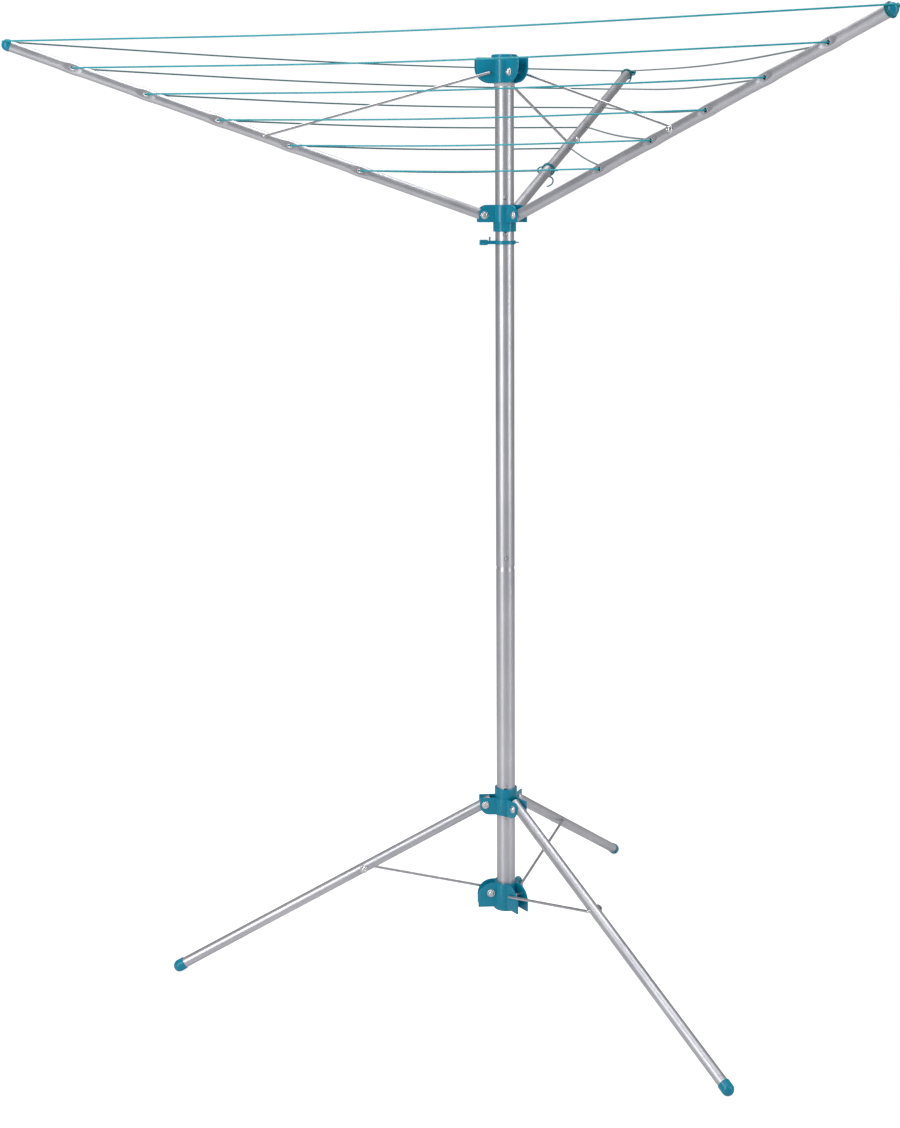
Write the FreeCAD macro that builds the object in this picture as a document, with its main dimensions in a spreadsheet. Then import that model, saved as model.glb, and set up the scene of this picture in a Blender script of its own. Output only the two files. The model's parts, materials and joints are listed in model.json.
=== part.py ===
"""Three-arm rotary clothesline on a folding tripod: one document, one object per physical piece.

Frame: millimetres, +Z up, origin on the pole's axis at floor level.
Arms, stays, legs and spreaders come in threes, called a, b and c, each set in its own upright plane
through the pole's axis. In such a plane "radial" is the distance from the pole's axis and "side" is
the offset across the plane, positive anticlockwise seen from above.
"""
import FreeCAD
import Part
import math
import os
import Sketcher
from FreeCAD import Placement, Rotation, Vector

SIZES = [
    # pole
    ("pole_radius", 17.0, "outside of both pole sections"),
    ("pole_wall", 1.2, "wall of both pole sections"),
    ("seam_z", 747.5, "height where the upper section meets the lower one"),
    ("neck_length", 172.0, "drawn-in top of the lower section, inside the upper one"),
    ("shoulder_length", 7.0, "cone between the full lower section and its neck"),
    # hubs that slide on the pole
    ("arm_pivot_drop", 253.6, "stay pins down to the arm pivots, open"),
    ("leg_pivot_rise", 167.0, "spreader pins up to the leg pivots, open"),
    ("sleeve_wall", 3.6, "hub sleeve round the pole"),
    ("wrap_wall", 2.9, "hub plates where they pass round the sleeve"),
    ("hub_height", 48.0, "sliding hub, sleeve end to plate end"),
    ("plate_height", 31.0, "sliding hub, its plates"),
    ("pivot_margin", 18.5, "pivot below the free edge of the plates"),
    ("ear_wall", 2.5, "thickness of a clevis ear"),
    ("ear_margin", 11.0, "ear beyond the pivot"),
    ("ear_round", 17.0, "rounding of a sliding hub's ears"),
    ("pivot_room", 2.2, "free space between a turning tube end and the sleeve"),
    ("relief_length", 30.0, "groove in the hub that lets a snap button pass"),
    ("relief_clearance", 0.3, "groove to the sides of the button"),
    ("relief_depth", 0.25, "groove beyond the top of the button"),
    # hubs fixed to the pole's ends
    ("top_pin_z", 1642.0, "height of the stay pins"),
    ("bottom_pin_z", 137.0, "height of the spreader pins"),
    ("end_plate_height", 44.5, "end hub, its plates"),
    ("end_pin_margin", 26.5, "pin to the closed face of an end hub"),
    ("end_pin_room", 8.3, "pin outside the sleeve of an end hub"),
    ("end_ear_margin", 24.5, "end hub's ear beyond its pin"),
    ("end_ear_round", 27.0, "rounding of an end hub's ears"),
    ("disc_inset", 0.2, "closing disc of an end hub inside its plates' round"),
    ("disc_height", 6.0, "closing disc of an end hub"),
    ("bush_wall", 1.6, "bush that the top hub turns on"),
    ("bush_length", 6.0, "bush that the top hub turns on"),
    # arms
    ("arm_radius", 9.5, "outside of an arm tube"),
    ("arm_wall", 0.8, "wall of an arm tube"),
    ("arm_length", 876.0, "pivot to the tube's outer end"),
    ("arm_tail", 13.0, "pivot to the tube's inner end"),
    ("arm_angle", 19.8, "rise of an open arm, degrees"),
    ("line_hole_first", 237.0, "pivot to the innermost line hole"),
    ("line_hole_pitch", 132.0, "between line holes"),
    ("line_hole_radius", 4.0, "line hole"),
    ("stay_hole", 418.5, "pivot to the stay's hole"),
    ("tip_wall", 0.8, "tip cap outside the tube"),
    ("tip_skirt", 5.0, "straight part of the tip cap beyond the tube"),
    ("tip_plug", 16.0, "tip cap inside the tube"),
    # legs
    ("leg_radius", 9.5, "outside of a leg tube"),
    ("leg_wall", 1.0, "wall of a leg tube"),
    ("leg_length", 638.0, "pivot to the centre of the foot's round end"),
    ("leg_tail", 13.0, "pivot to the tube's inner end"),
    ("spreader_hole", 253.0, "pivot to the spreader's hole"),
    ("foot_wall", 1.3, "foot cap outside the tube"),
    ("foot_skirt", 11.0, "foot cap along the tube"),
    ("foot_flat", 0.8, "how much of the round foot is flat on the floor"),
    # rods, pins and their fasteners
    ("rod_radius", 2.5, "stay and spreader wire"),
    ("rod_bend", 3.5, "bend of the wire at its ends"),
    ("rod_gap", 1.0, "wire to the ear or tube beside it"),
    ("nut_radius", 7.5, "domed push-on nut"),
    ("nut_height", 6.0, "domed push-on nut"),
    ("nut_blind", 0.6, "depth of a nut's hole, as a share of its height"),
    ("rivet_radius", 3.0, "pivot rivet"),
    ("rivet_head_radius", 7.0, "pivot rivet's domed head"),
    ("rivet_head_height", 3.6, "pivot rivet's domed head"),
    ("pin_clearance", 0.1, "round a pin, on the radius"),
    ("slide_clearance", 0.1, "round the pole and its neck, on the radius"),
    ("side_clearance", 0.5, "tube to ear, each side"),
    ("face_clearance", 0.1, "between faces that only meet"),
    # snap buttons
    ("button_radius", 4.4, "snap button"),
    ("button_rise", 2.6, "snap button beyond the pole's outside"),
    ("button_flange", 1.2, "extra radius of the button's foot"),
    ("button_foot", 1.0, "thickness of the button's foot"),
    ("hub_play", 8.3, "between the arm hub and the button above it"),
    ("seam_button_margin", 16.5, "seam to the snap button of the pole joint"),
    ("spring_width", 7.0, "leaf spring behind a button"),
    ("spring_sheet", 0.8, "leaf spring's thickness"),
    ("spring_length", 42.0, "leaf spring, button to bend"),
    # clip ring
    ("ring_gap", 16.4, "arm hub down to the clip ring"),
    ("ring_height", 6.5, "clip ring"),
    ("ring_wall", 2.8, "clip ring"),
    ("ring_tab", 28.5, "clip ring's tab beyond the pole"),
    ("ring_tab_width", 4.0, "clip ring's tab"),
    ("ring_grip_length", 15.0, "grip at the tab's end"),
    ("ring_grip_width", 7.0, "grip at the tab's end"),
    ("ring_grip_height", 10.0, "grip at the tab's end"),
    ("ring_grip_round", 1.6, "rounding of the grip's edges"),
    ("ring_grip_groove", 1.0, "radius of the grip's grooves"),
    ("ring_hook_place", 8.55, "clip ring's hook beyond the pole"),
    ("ring_hook_length", 3.0, "clip ring's hook, along the tab"),
    ("ring_hook_rise", 7.0, "clip ring's hook above the band"),
    ("ring_hook_round", 1.2, "rounding of the hook's top"),
    ("ring_tail", 6.0, "clip ring's tail beyond the band"),
    ("ring_tail_root", 2.275, "radius of the clip ring's tail on the pole's axis"),
    ("ring_tail_end", 0.975, "radius of the clip ring's tail at its end"),
    # clothesline
    ("line_radius", 1.5, "clothesline"),
    ("line_sag", 0.0085, "sag of a span, as a share of its length"),
    ("line_tail", 12.0, "free end past the first hole"),
    ("line_bend", 0.45, "how much of the shorter run a bend takes, as a share"),
    ("hole_bend", 0.36, "how much of the run through an arm a bend takes at its hole, as a share"),
    ("hole_slack", 0.8, "how much of its room in a hole the line's bend takes, as a share"),
    ("line_lean", 1.2, "line off the centre of its hole, pulled outward"),
    ("groove_clearance", 0.2, "tip cap's groove round the line"),
    ("groove_run", 45.0, "straight ends of the tip cap's groove"),
    ("wrap_depth", 1.0, "how far the line sinks into a tip cap"),
]
# directions round the pole, degrees from +X, in the order the line visits the arms
ARM_AZIMUTHS = {"c": 61.0, "a": 180.0, "b": 298.3}
LEG_AZIMUTHS = {"c": 56.7, "a": 174.8, "b": 294.8}
ARM_BUTTON_AZIMUTH = 262.0
SEAM_BUTTON_AZIMUTH = 269.0
LEG_BUTTON_AZIMUTH = 258.0
RING_TAB_AZIMUTH = 169.0
LINE_HOLES = 5
GRIP_GROOVE_SHARES = (0.35, 0.65)
# rounded edges, as a share of the height that they may take
DISC_ROUND = 0.4
DOME_ROUND = 0.8
RIVET_ROUND = 0.85
BUSH_ROUND = 0.5
# the line's way round a tip cap: height above its axis, and the two bends, each of about 60 degrees
WRAP_RISE_SHARE = 0.3
WRAP_SPREAD = 1.05
WRAP_HALF_TURN = 30.0
# how far a cutter runs past what it cuts, millimetres; it leaves no mark on the part
OVERSHOOT = 5.0
# faces nearer than this are taken as one where a groove grazes the round of a tip cap, millimetres
CUT_TOLERANCE = 0.001

doc = FreeCAD.newDocument("RotaryClothesline")
sheet = doc.addObject("Spreadsheet::Sheet", "Sizes")
for row, (name, value, note) in enumerate(SIZES, start=1):
    sheet.set(f"A{row}", name)
    sheet.set(f"B{row}", str(value))
    sheet.set(f"C{row}", note)
    sheet.setAlias(f"B{row}", name)
scratch = doc.addObject("Spreadsheet::Sheet", "Scratch")
doc.recompute()


def size(name):
    """A driving size, read back from the sheet."""
    return float(sheet.get(name))


# sizes that follow from the sheet
BORE = "Sizes.pole_radius + Sizes.slide_clearance"
SLEEVE = f"{BORE} + Sizes.sleeve_wall"
WRAP = f"{SLEEVE} + Sizes.wrap_wall"
bore_radius = size("pole_radius") + size("slide_clearance")
sleeve_radius = bore_radius + size("sleeve_wall")
arm_reach = math.hypot(size("arm_tail"), size("arm_radius"))
leg_reach = math.hypot(size("leg_tail"), size("leg_radius"))
pivot_circle = sleeve_radius + size("pivot_room") + max(arm_reach, leg_reach)
end_pin_circle = sleeve_radius + size("end_pin_room")
tube_inside = size("pole_radius") - size("pole_wall")
neck_radius = tube_inside - size("slide_clearance")
arm_pivot_z = size("top_pin_z") - size("arm_pivot_drop")
leg_pivot_z = size("bottom_pin_z") + size("leg_pivot_rise")
arm_hub_top = arm_pivot_z + size("pivot_margin")
arm_hub_bottom = arm_hub_top - size("hub_height")
leg_hub_bottom = leg_pivot_z - size("pivot_margin")
leg_hub_top = leg_hub_bottom + size("hub_height")
pole_top = size("top_pin_z") + size("end_pin_margin")
pole_bottom = size("bottom_pin_z") - size("end_pin_margin")
button_step = size("face_clearance") + size("button_radius")
foot_radius = size("leg_radius") + size("foot_wall")
leg_angle = math.degrees(math.asin((leg_pivot_z - foot_radius + size("foot_flat")) / size("leg_length")))
tip_radius = size("arm_radius") + size("tip_wall")
relief_radius = size("pole_radius") + size("button_rise") + size("relief_depth")


def ear_faces(tube):
    """Inner and outer face of a clevis ear, measured from the middle of the tube that it holds."""
    inside = size(tube + "_radius") + size("side_clearance")
    return inside, inside + size("ear_wall")


def side_frame(azimuth):
    """Radial and side directions of the upright plane at an azimuth."""
    angle = math.radians(azimuth)
    return Vector(math.cos(angle), math.sin(angle), 0), Vector(-math.sin(angle), math.cos(angle), 0)


def in_plane(azimuth, radial, z, side=0.0):
    """A point given in the upright plane at an azimuth."""
    out, across = side_frame(azimuth)
    return out * radial + across * side + Vector(0, 0, z)


def along(origin, direction, across=None):
    """A placement whose own Z axis runs along direction, with its own X along across if that is given."""
    if across is None:
        return Placement(origin, Rotation(Vector(0, 0, 1), direction))
    return Placement(origin, Rotation(across, direction.cross(across), direction, "ZXY"))


def named(kind, name, **expressions):
    """A document object with its sizes bound to the sheet."""
    item = doc.addObject(kind, name)
    for key, expression in expressions.items():
        item.setExpression(key, expression)
    return item


def cylinder(name, radius, height, placement=Placement()):
    item = named("Part::Cylinder", name, Radius=radius, Height=height)
    item.Placement = placement
    return item


def box(name, length, width, height, placement=Placement()):
    """A box that starts at X = 0 and Z = 0 of its placement and is centred there in Y."""
    item = named("Part::Box", name, Length=length, Width=width, Height=height)
    doc.recompute()
    shift = Vector(0, -item.Width.Value / 2, 0)
    item.Placement = placement.multiply(Placement(shift, Rotation()))
    return item


def fuse(name, items):
    item = doc.addObject("Part::MultiFuse", name)
    item.Shapes = items
    return item


def cut(name, base, tools):
    """One boolean cut of base by all tools."""
    item = doc.addObject("Part::Cut", name)
    item.Base = base
    item.Tool = tools[0] if len(tools) == 1 else fuse(name + "_tools", tools)
    return item


def round_edges(name, base, radius, test):
    """Rounds the edges of base that pass test."""
    doc.recompute()
    item = doc.addObject("Part::Fillet", name)
    item.Base = base
    item.Edges = [(i, radius, radius) for i, edge in enumerate(base.Shape.Edges, start=1) if test(edge)]
    return item


def circle_at(z, radius=None):
    """A test for a whole horizontal circle at a height, and of a radius if one is given."""
    def test(edge):
        if not isinstance(edge.Curve, Part.Circle) or not edge.isClosed():
            return False
        right_radius = radius is None or abs(edge.Curve.Radius - radius) < 0.01
        return abs(edge.Curve.Center.z - z) < 0.01 and right_radius
    return test


def plane_of(body, role):
    return next(item for item in body.Origin.OriginFeatures if item.Role == role)


def turned(name, profile, fillets=()):
    """A body turned about its own Z axis from a closed profile of (radius, height) expressions.

    fillets lists (radius, height, fillet) expressions: the circle to round, and how much.
    """
    body = doc.addObject("PartDesign::Body", name)
    sketch = body.newObject("Sketcher::SketchObject", name + "_profile")
    sketch.AttachmentSupport = [(plane_of(body, "XZ_Plane"), "")]
    sketch.MapMode = "FlatFace"
    doc.recompute()
    points = [(value_of(r), value_of(z)) for r, z in profile]
    count = len(points)
    for i, (r, z) in enumerate(points):
        r2, z2 = points[(i + 1) % count]
        sketch.addGeometry(Part.LineSegment(Vector(r, z, 0), Vector(r2, z2, 0)), False)
    for i in range(count):
        sketch.addConstraint(Sketcher.Constraint("Coincident", i, 2, (i + 1) % count, 1))
    for i, (r, z) in enumerate(profile):
        radial, height = points[i]
        for kind, axis, text, value in (("DistanceX", -2, r, radial), ("DistanceY", -1, z, height)):
            if abs(value) < 1e-9:
                sketch.addConstraint(Sketcher.Constraint("PointOnObject", i, 1, axis))
                continue
            index = sketch.addConstraint(Sketcher.Constraint(kind, -1, 1, i, 1, value))
            sketch.setExpression(f"Constraints[{index}]", text)
    turn = body.newObject("PartDesign::Revolution", name + "_turn")
    turn.Profile = sketch
    turn.ReferenceAxis = (sketch, ["V_Axis"])
    turn.Angle = 360
    doc.recompute()
    for k, (radius, height, fillet) in enumerate(fillets):
        test = circle_at(value_of(height), value_of(radius))
        edges = [f"Edge{i}" for i, edge in enumerate(body.Shape.Edges, start=1) if test(edge)]
        sharp = body.Tip
        rounding = body.newObject("PartDesign::Fillet", f"{name}_round{k}")
        rounding.Base = (sharp, edges)
        rounding.setExpression("Radius", fillet)
        doc.recompute()
    return body


def value_of(text):
    """The value of an expression over the sheet's sizes, worked out in a sheet of its own."""
    scratch.set("A1", "=" + text)
    scratch.recompute()
    return float(scratch.get("A1"))


def keep(item, label, placement=None):
    """Names an object as a finished sub-part, and places it."""
    if placement is not None:
        item.Placement = placement
    item.Label = label
    NODES.append(item)
    return item


def keep_shape(shape, label, placement=None):
    """A finished sub-part whose shape is set here."""
    item = doc.addObject("Part::Feature", label)
    item.Shape = shape
    if placement is not None:
        item.Placement = placement
    return keep(item, label)


def copies(shape, placements):
    """Separate copies of one solid in one compound."""
    solids = []
    for placement in placements:
        copy = shape.copy()
        copy.Placement = placement.multiply(copy.Placement)
        solids.append(copy)
    return Part.makeCompound(solids)


def rounded_path(points, radii):
    """Straight runs joined by tangent arcs, one arc at each inner point. Returns the wire."""
    edges = []
    start = points[0]
    for i in range(1, len(points) - 1):
        corner = points[i]
        back = (points[i - 1] - corner).normalize()
        on = (points[i + 1] - corner).normalize()
        half_turn = (math.pi - back.getAngle(on)) / 2
        leg = radii[i - 1] * math.tan(half_turn)
        first = corner + back * leg
        last = corner + on * leg
        inward = (back + on).normalize()
        middle = corner + inward * (radii[i - 1] / math.cos(half_turn) - radii[i - 1])
        if (first - start).Length > 1e-4:
            edges.append(Part.LineSegment(start, first).toShape())
        edges.append(Part.Arc(first, middle, last).toShape())
        start = last
    edges.append(Part.LineSegment(start, points[-1]).toShape())
    return Part.Wire(edges)


def round_bar(wire, radius):
    """A solid round bar along a wire, with its volume checked against section times length."""
    first = wire.Edges[0]
    start = first.valueAt(first.FirstParameter)
    direction = first.tangentAt(first.FirstParameter)
    section = Part.Wire(Part.makeCircle(radius, start, direction))
    solid = wire.makePipeShell([section], True, False)
    if solid.Volume < 0:
        solid.reverse()
    expected = math.pi * radius ** 2 * wire.Length
    if abs(solid.Volume - expected) > 0.01 * expected:
        raise ValueError(f"bar volume {solid.Volume:.0f}, expected {expected:.0f}")
    return solid


NODES = []


# ---------------------------------------------------------------- hubs
def upright(name, radius, low, high):
    """A cylinder on the pole's axis between two heights."""
    return cylinder(name, radius, str(high - low), Placement(Vector(0, 0, low), Rotation()))


def closing_disc(label, low, high, rounded):
    """The rounded disc that closes a hub over the pole's end."""
    disc = upright(label + "_disc", f"{WRAP} - Sizes.disc_inset", low, high)
    return round_edges(label + "_disc_round", disc, size("disc_height") * DISC_ROUND, circle_at(rounded))


def hub(label, tube, azimuths, plates, sleeve, pin, margin, rounded_end, ear_round, button_azimuth=None):
    """A moulded hub: sleeve round the pole, plates round it, and a two-eared clevis per azimuth.

    plates and sleeve are (low, high) heights, and pin is (circle, height, radius expression).
    """
    plate_low, plate_high = plates
    sleeve_low, sleeve_high = sleeve
    pin_circle, pin_z, pin_radius = pin
    ear_inside, ear_outside = ear_faces(tube)
    height = str(plate_high - plate_low)
    reach = pin_circle + margin
    base = Vector(0, 0, plate_low)
    parts = [cylinder(label + "_wrap", WRAP, height, Placement(base, Rotation()))]
    channels = []
    pins = []
    gap = str(2 * ear_inside)
    for key, azimuth in azimuths.items():
        turn = Rotation(Vector(0, 0, 1), azimuth)
        for side in (-1, 1):
            offset = side * (ear_inside + size("ear_wall") / 2)
            start = in_plane(azimuth, 0, plate_low, offset)
            parts.append(box(f"{label}_ear_{key}{side + 1}", str(reach), "Sizes.ear_wall", height,
                             Placement(start, turn)))
        channels.append(box(f"{label}_channel_{key}", str(reach + OVERSHOOT), gap,
                            f"{height} + {2 * OVERSHOOT}", Placement(base - Vector(0, 0, OVERSHOOT), turn)))
        across = side_frame(azimuth)[1]
        start = in_plane(azimuth, pin_circle, pin_z, -ear_outside - OVERSHOOT)
        pins.append(cylinder(f"{label}_pin_{key}", f"{pin_radius} + Sizes.pin_clearance",
                             str(2 * (ear_outside + OVERSHOOT)), along(start, across)))
    outline = cylinder(label + "_outline", str(reach), height, Placement(base, Rotation()))
    z_round = plate_high if rounded_end == "high" else plate_low
    outline = round_edges(label + "_rounded", outline, ear_round, circle_at(z_round))
    shell = doc.addObject("Part::Common", label + "_shell")
    shell.Base = fuse(label + "_plan", parts)
    shell.Tool = outline
    open_plates = cut(label + "_clevises", shell, channels)
    solids = [open_plates, upright(label + "_sleeve", SLEEVE, sleeve_low, sleeve_high)]
    bore_low = sleeve_low - OVERSHOOT
    bore_high = sleeve_high + OVERSHOOT
    if sleeve_high == pole_top:
        disc_top = sleeve_high + size("disc_height")
        solids.append(closing_disc(label, sleeve_high, disc_top, disc_top))
        bore_high = sleeve_high + size("face_clearance")
    if sleeve_low == pole_bottom:
        disc_bottom = sleeve_low - size("disc_height")
        solids.append(closing_disc(label, disc_bottom, sleeve_low, disc_bottom))
        bore_low = sleeve_low - size("face_clearance")
    tools = pins + [upright(label + "_bore", BORE, bore_low, bore_high)]
    if button_azimuth is not None:
        low = plate_low - OVERSHOOT if rounded_end == "low" else plate_high - size("relief_length")
        width = "2 * (Sizes.button_radius + Sizes.relief_clearance)"
        tools.append(box(label + "_relief", str(relief_radius), width, f"Sizes.relief_length + {OVERSHOOT}",
                         Placement(Vector(0, 0, low), Rotation(Vector(0, 0, 1), button_azimuth))))
    return keep(cut(label + "_whole", fuse(label + "_solid", solids), tools), label)


end_height = size("end_plate_height")
plate_height = size("plate_height")
top_span = (pole_top - end_height, pole_top)
bottom_span = (pole_bottom, pole_bottom + end_height)
top_pin = (end_pin_circle, size("top_pin_z"), "Sizes.rod_radius")
bottom_pin = (end_pin_circle, size("bottom_pin_z"), "Sizes.rod_radius")
arm_pin = (pivot_circle, arm_pivot_z, "Sizes.rivet_radius")
leg_pin = (pivot_circle, leg_pivot_z, "Sizes.rivet_radius")
hub("top_hub", "arm", ARM_AZIMUTHS, top_span, top_span, top_pin, size("end_ear_margin"), "low",
    size("end_ear_round"))
hub("bottom_hub", "leg", LEG_AZIMUTHS, bottom_span, bottom_span, bottom_pin, size("end_ear_margin"), "high",
    size("end_ear_round"))
hub("arm_hub", "arm", ARM_AZIMUTHS, (arm_hub_top - plate_height, arm_hub_top),
    (arm_hub_bottom, arm_hub_top), arm_pin, size("ear_margin"), "high", size("ear_round"), ARM_BUTTON_AZIMUTH)
hub("leg_hub", "leg", LEG_AZIMUTHS, (leg_hub_bottom, leg_hub_bottom + plate_height),
    (leg_hub_bottom, leg_hub_top), leg_pin, size("ear_margin"), "low", size("ear_round"), LEG_BUTTON_AZIMUTH)

# ---------------------------------------------------------------- pole
# each button's direction, height and the inside radius of the tube that it sits in
high_button_z = arm_hub_top + size("hub_play") + size("button_radius")
seam_button_z = size("seam_z") + size("seam_button_margin")
BUTTONS = {
    "arm_button_low": (ARM_BUTTON_AZIMUTH, arm_hub_bottom - button_step, tube_inside),
    "arm_button_high": (ARM_BUTTON_AZIMUTH, high_button_z, tube_inside),
    "seam_button": (SEAM_BUTTON_AZIMUTH, seam_button_z, neck_radius - size("pole_wall")),
    "leg_button_high": (LEG_BUTTON_AZIMUTH, leg_hub_top + button_step, tube_inside),
    "leg_button_low": (LEG_BUTTON_AZIMUTH, leg_hub_bottom - button_step, tube_inside),
}


def button_holes(name, buttons):
    """Cutters for the holes that snap buttons stand in."""
    holes = []
    for key in buttons:
        azimuth, z = BUTTONS[key][:2]
        place = along(Vector(0, 0, z), side_frame(azimuth)[0])
        holes.append(cylinder(f"{name}_{key}", "Sizes.button_radius + Sizes.pin_clearance",
                              f"Sizes.pole_radius + {OVERSHOOT}", place))
    return holes


FULL = "Sizes.pole_radius"
FULL_IN = "Sizes.pole_radius - Sizes.pole_wall"
NECK = "Sizes.pole_radius - Sizes.pole_wall - Sizes.slide_clearance"
NECK_IN = "Sizes.pole_radius - 2 * Sizes.pole_wall - Sizes.slide_clearance"
SEAM = "Sizes.seam_z - Sizes.bottom_pin_z + Sizes.end_pin_margin"
lower = turned("lower_pole_tube", [
    (FULL_IN, "0"), (FULL, "0"),
    (FULL, f"{SEAM} - Sizes.face_clearance - Sizes.shoulder_length"),
    (NECK, f"{SEAM} - Sizes.face_clearance"),
    (NECK, f"{SEAM} + Sizes.neck_length"),
    (NECK_IN, f"{SEAM} + Sizes.neck_length"),
    (NECK_IN, f"{SEAM} - Sizes.face_clearance"),
    (FULL_IN, f"{SEAM} - Sizes.face_clearance - Sizes.shoulder_length"),
])
lower.Placement = Placement(Vector(0, 0, pole_bottom), Rotation())
lower_holes = button_holes("lower", ["leg_button_high", "leg_button_low", "seam_button"])
keep(cut("lower_pole_cut", lower, lower_holes), "lower_pole")
TOP = "Sizes.top_pin_z + Sizes.end_pin_margin - Sizes.seam_z"
upper = turned("upper_pole_tube", [(FULL_IN, "0"), (FULL, "0"), (FULL, TOP), (FULL_IN, TOP)])
upper.Placement = Placement(Vector(0, 0, size("seam_z")), Rotation())
upper_holes = button_holes("upper", ["arm_button_high", "arm_button_low", "seam_button"])
keep(cut("upper_pole_cut", upper, upper_holes), "upper_pole")

# the bush under the top hub stays on the pole; the hub turns on its upper face
bush = turned("bush_turned", [
    ("Sizes.pole_radius", "0"), ("Sizes.pole_radius + Sizes.bush_wall", "0"),
    ("Sizes.pole_radius + Sizes.bush_wall", "Sizes.bush_length"), ("Sizes.pole_radius", "Sizes.bush_length")],
    [("Sizes.pole_radius + Sizes.bush_wall", "0", f"{BUSH_ROUND} * Sizes.bush_wall")])
bush_low = pole_top - size("end_plate_height") - size("face_clearance") - size("bush_length")
keep(bush, "head_bush", Placement(Vector(0, 0, bush_low), Rotation()))

# ---------------------------------------------------------------- snap buttons and their leaf springs
for key, (azimuth, z, inside) in BUTTONS.items():
    flange_radius = size("button_radius") + size("button_flange")
    seat = math.sqrt(inside ** 2 - flange_radius ** 2) - size("face_clearance")
    start = seat - size("button_foot")
    length = f"Sizes.pole_radius + Sizes.button_rise - {start}"
    body = turned(key + "_turned", [
        ("0", "0"), ("Sizes.button_radius + Sizes.button_flange", "0"),
        ("Sizes.button_radius + Sizes.button_flange", "Sizes.button_foot"),
        ("Sizes.button_radius", "Sizes.button_foot"), ("Sizes.button_radius", length), ("0", length)],
        [("Sizes.button_radius", length, f"{DOME_ROUND} * Sizes.button_rise")])
    out, across = side_frame(azimuth)
    keep(body, key, along(out * start + Vector(0, 0, z), out))
    # a strip bent to a hairpin: one leg carries the button, the other rests on the far wall
    strip_wall = size("spring_sheet")
    drop = size("spring_length")
    near = start - size("face_clearance")
    half_width = size("spring_width") / 2
    far = -(math.sqrt(inside ** 2 - half_width ** 2) - size("face_clearance"))
    bend = (near - far) / 2
    centre = (near + far) / 2
    up = size("button_radius")

    def strip(radial, height):
        return out * radial + across * -half_width + Vector(0, 0, z + height)

    outline = [
        Part.LineSegment(strip(near, up), strip(near, -drop)).toShape(),
        Part.Arc(strip(near, -drop), strip(centre, -drop - bend), strip(far, -drop)).toShape(),
        Part.LineSegment(strip(far, -drop), strip(far, up)).toShape(),
        Part.LineSegment(strip(far, up), strip(far + strip_wall, up)).toShape(),
        Part.LineSegment(strip(far + strip_wall, up), strip(far + strip_wall, -drop)).toShape(),
        Part.Arc(strip(far + strip_wall, -drop), strip(centre, -drop - bend + strip_wall),
                 strip(near - strip_wall, -drop)).toShape(),
        Part.LineSegment(strip(near - strip_wall, -drop), strip(near - strip_wall, up)).toShape(),
        Part.LineSegment(strip(near - strip_wall, up), strip(near, up)).toShape(),
    ]
    spring = Part.Face(Part.Wire(outline)).extrude(across * size("spring_width"))
    keep_shape(spring, key.replace("button", "spring"))

# ---------------------------------------------------------------- arms
arm_rise = math.radians(size("arm_angle"))


def tube_direction(azimuth, angle):
    """Direction of a tube that rises by an angle, and the direction square to it in its upright plane."""
    out = side_frame(azimuth)[0]
    return (out * math.cos(angle) + Vector(0, 0, math.sin(angle)),
            out * -math.sin(angle) + Vector(0, 0, math.cos(angle)))


def tube(label, azimuth, pivot_z, angle, radius, wall, tail, length, holes):
    """A tube from behind its pivot to its outer end, with cross holes: (distance, radius expression)."""
    direction = tube_direction(azimuth, angle)[0]
    across = side_frame(azimuth)[1]
    pivot = in_plane(azimuth, pivot_circle, pivot_z)
    start = pivot - direction * size(tail)
    outer = cylinder(label + "_outer", f"Sizes.{radius}", f"Sizes.{length} + Sizes.{tail}",
                     along(start, direction))
    inner = cylinder(label + "_inner", f"Sizes.{radius} - Sizes.{wall}",
                     f"Sizes.{length} + Sizes.{tail} + {2 * OVERSHOOT}",
                     along(start - direction * OVERSHOOT, direction))
    tools = [inner]
    for i, (distance, hole) in enumerate(holes):
        where = pivot + direction * distance - across * (size(radius) + OVERSHOOT)
        tools.append(cylinder(f"{label}_hole{i}", hole, f"2 * (Sizes.{radius} + {OVERSHOOT})",
                              along(where, across)))
    return keep(cut(label + "_tube", outer, tools), label)


def turned_copies(body, placements, label):
    """A group of identical turned pieces from one body."""
    doc.recompute()
    shape = body.Shape.copy()
    shape.Placement = Placement()
    return keep_shape(copies(shape, placements), label)


HEAD = "Sizes.rivet_head_height"


def rivets(tube, azimuths, pivot_z):
    """The pivot rivets of a hub, each with a domed head outside both ears."""
    ear_outside = ear_faces(tube)[1]
    grip = str(2 * (ear_outside + size("face_clearance")))
    rivet = turned(tube + "_rivet", [
        ("0", "0"), ("Sizes.rivet_head_radius", "0"), ("Sizes.rivet_head_radius", HEAD),
        ("Sizes.rivet_radius", HEAD), ("Sizes.rivet_radius", f"{HEAD} + {grip}"),
        ("Sizes.rivet_head_radius", f"{HEAD} + {grip}"), ("Sizes.rivet_head_radius", f"2 * {HEAD} + {grip}"),
        ("0", f"2 * {HEAD} + {grip}")],
        [("Sizes.rivet_head_radius", "0", f"{RIVET_ROUND} * {HEAD}"),
         ("Sizes.rivet_head_radius", f"2 * {HEAD} + {grip}", f"{RIVET_ROUND} * {HEAD}")])
    side = -ear_outside - size("face_clearance") - size("rivet_head_height")
    places = [along(in_plane(azimuth, pivot_circle, pivot_z, side), side_frame(azimuth)[1])
              for azimuth in azimuths.values()]
    turned_copies(rivet, places, tube + "_rivets")


rivets("arm", ARM_AZIMUTHS, arm_pivot_z)
rivets("leg", LEG_AZIMUTHS, leg_pivot_z)

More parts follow.
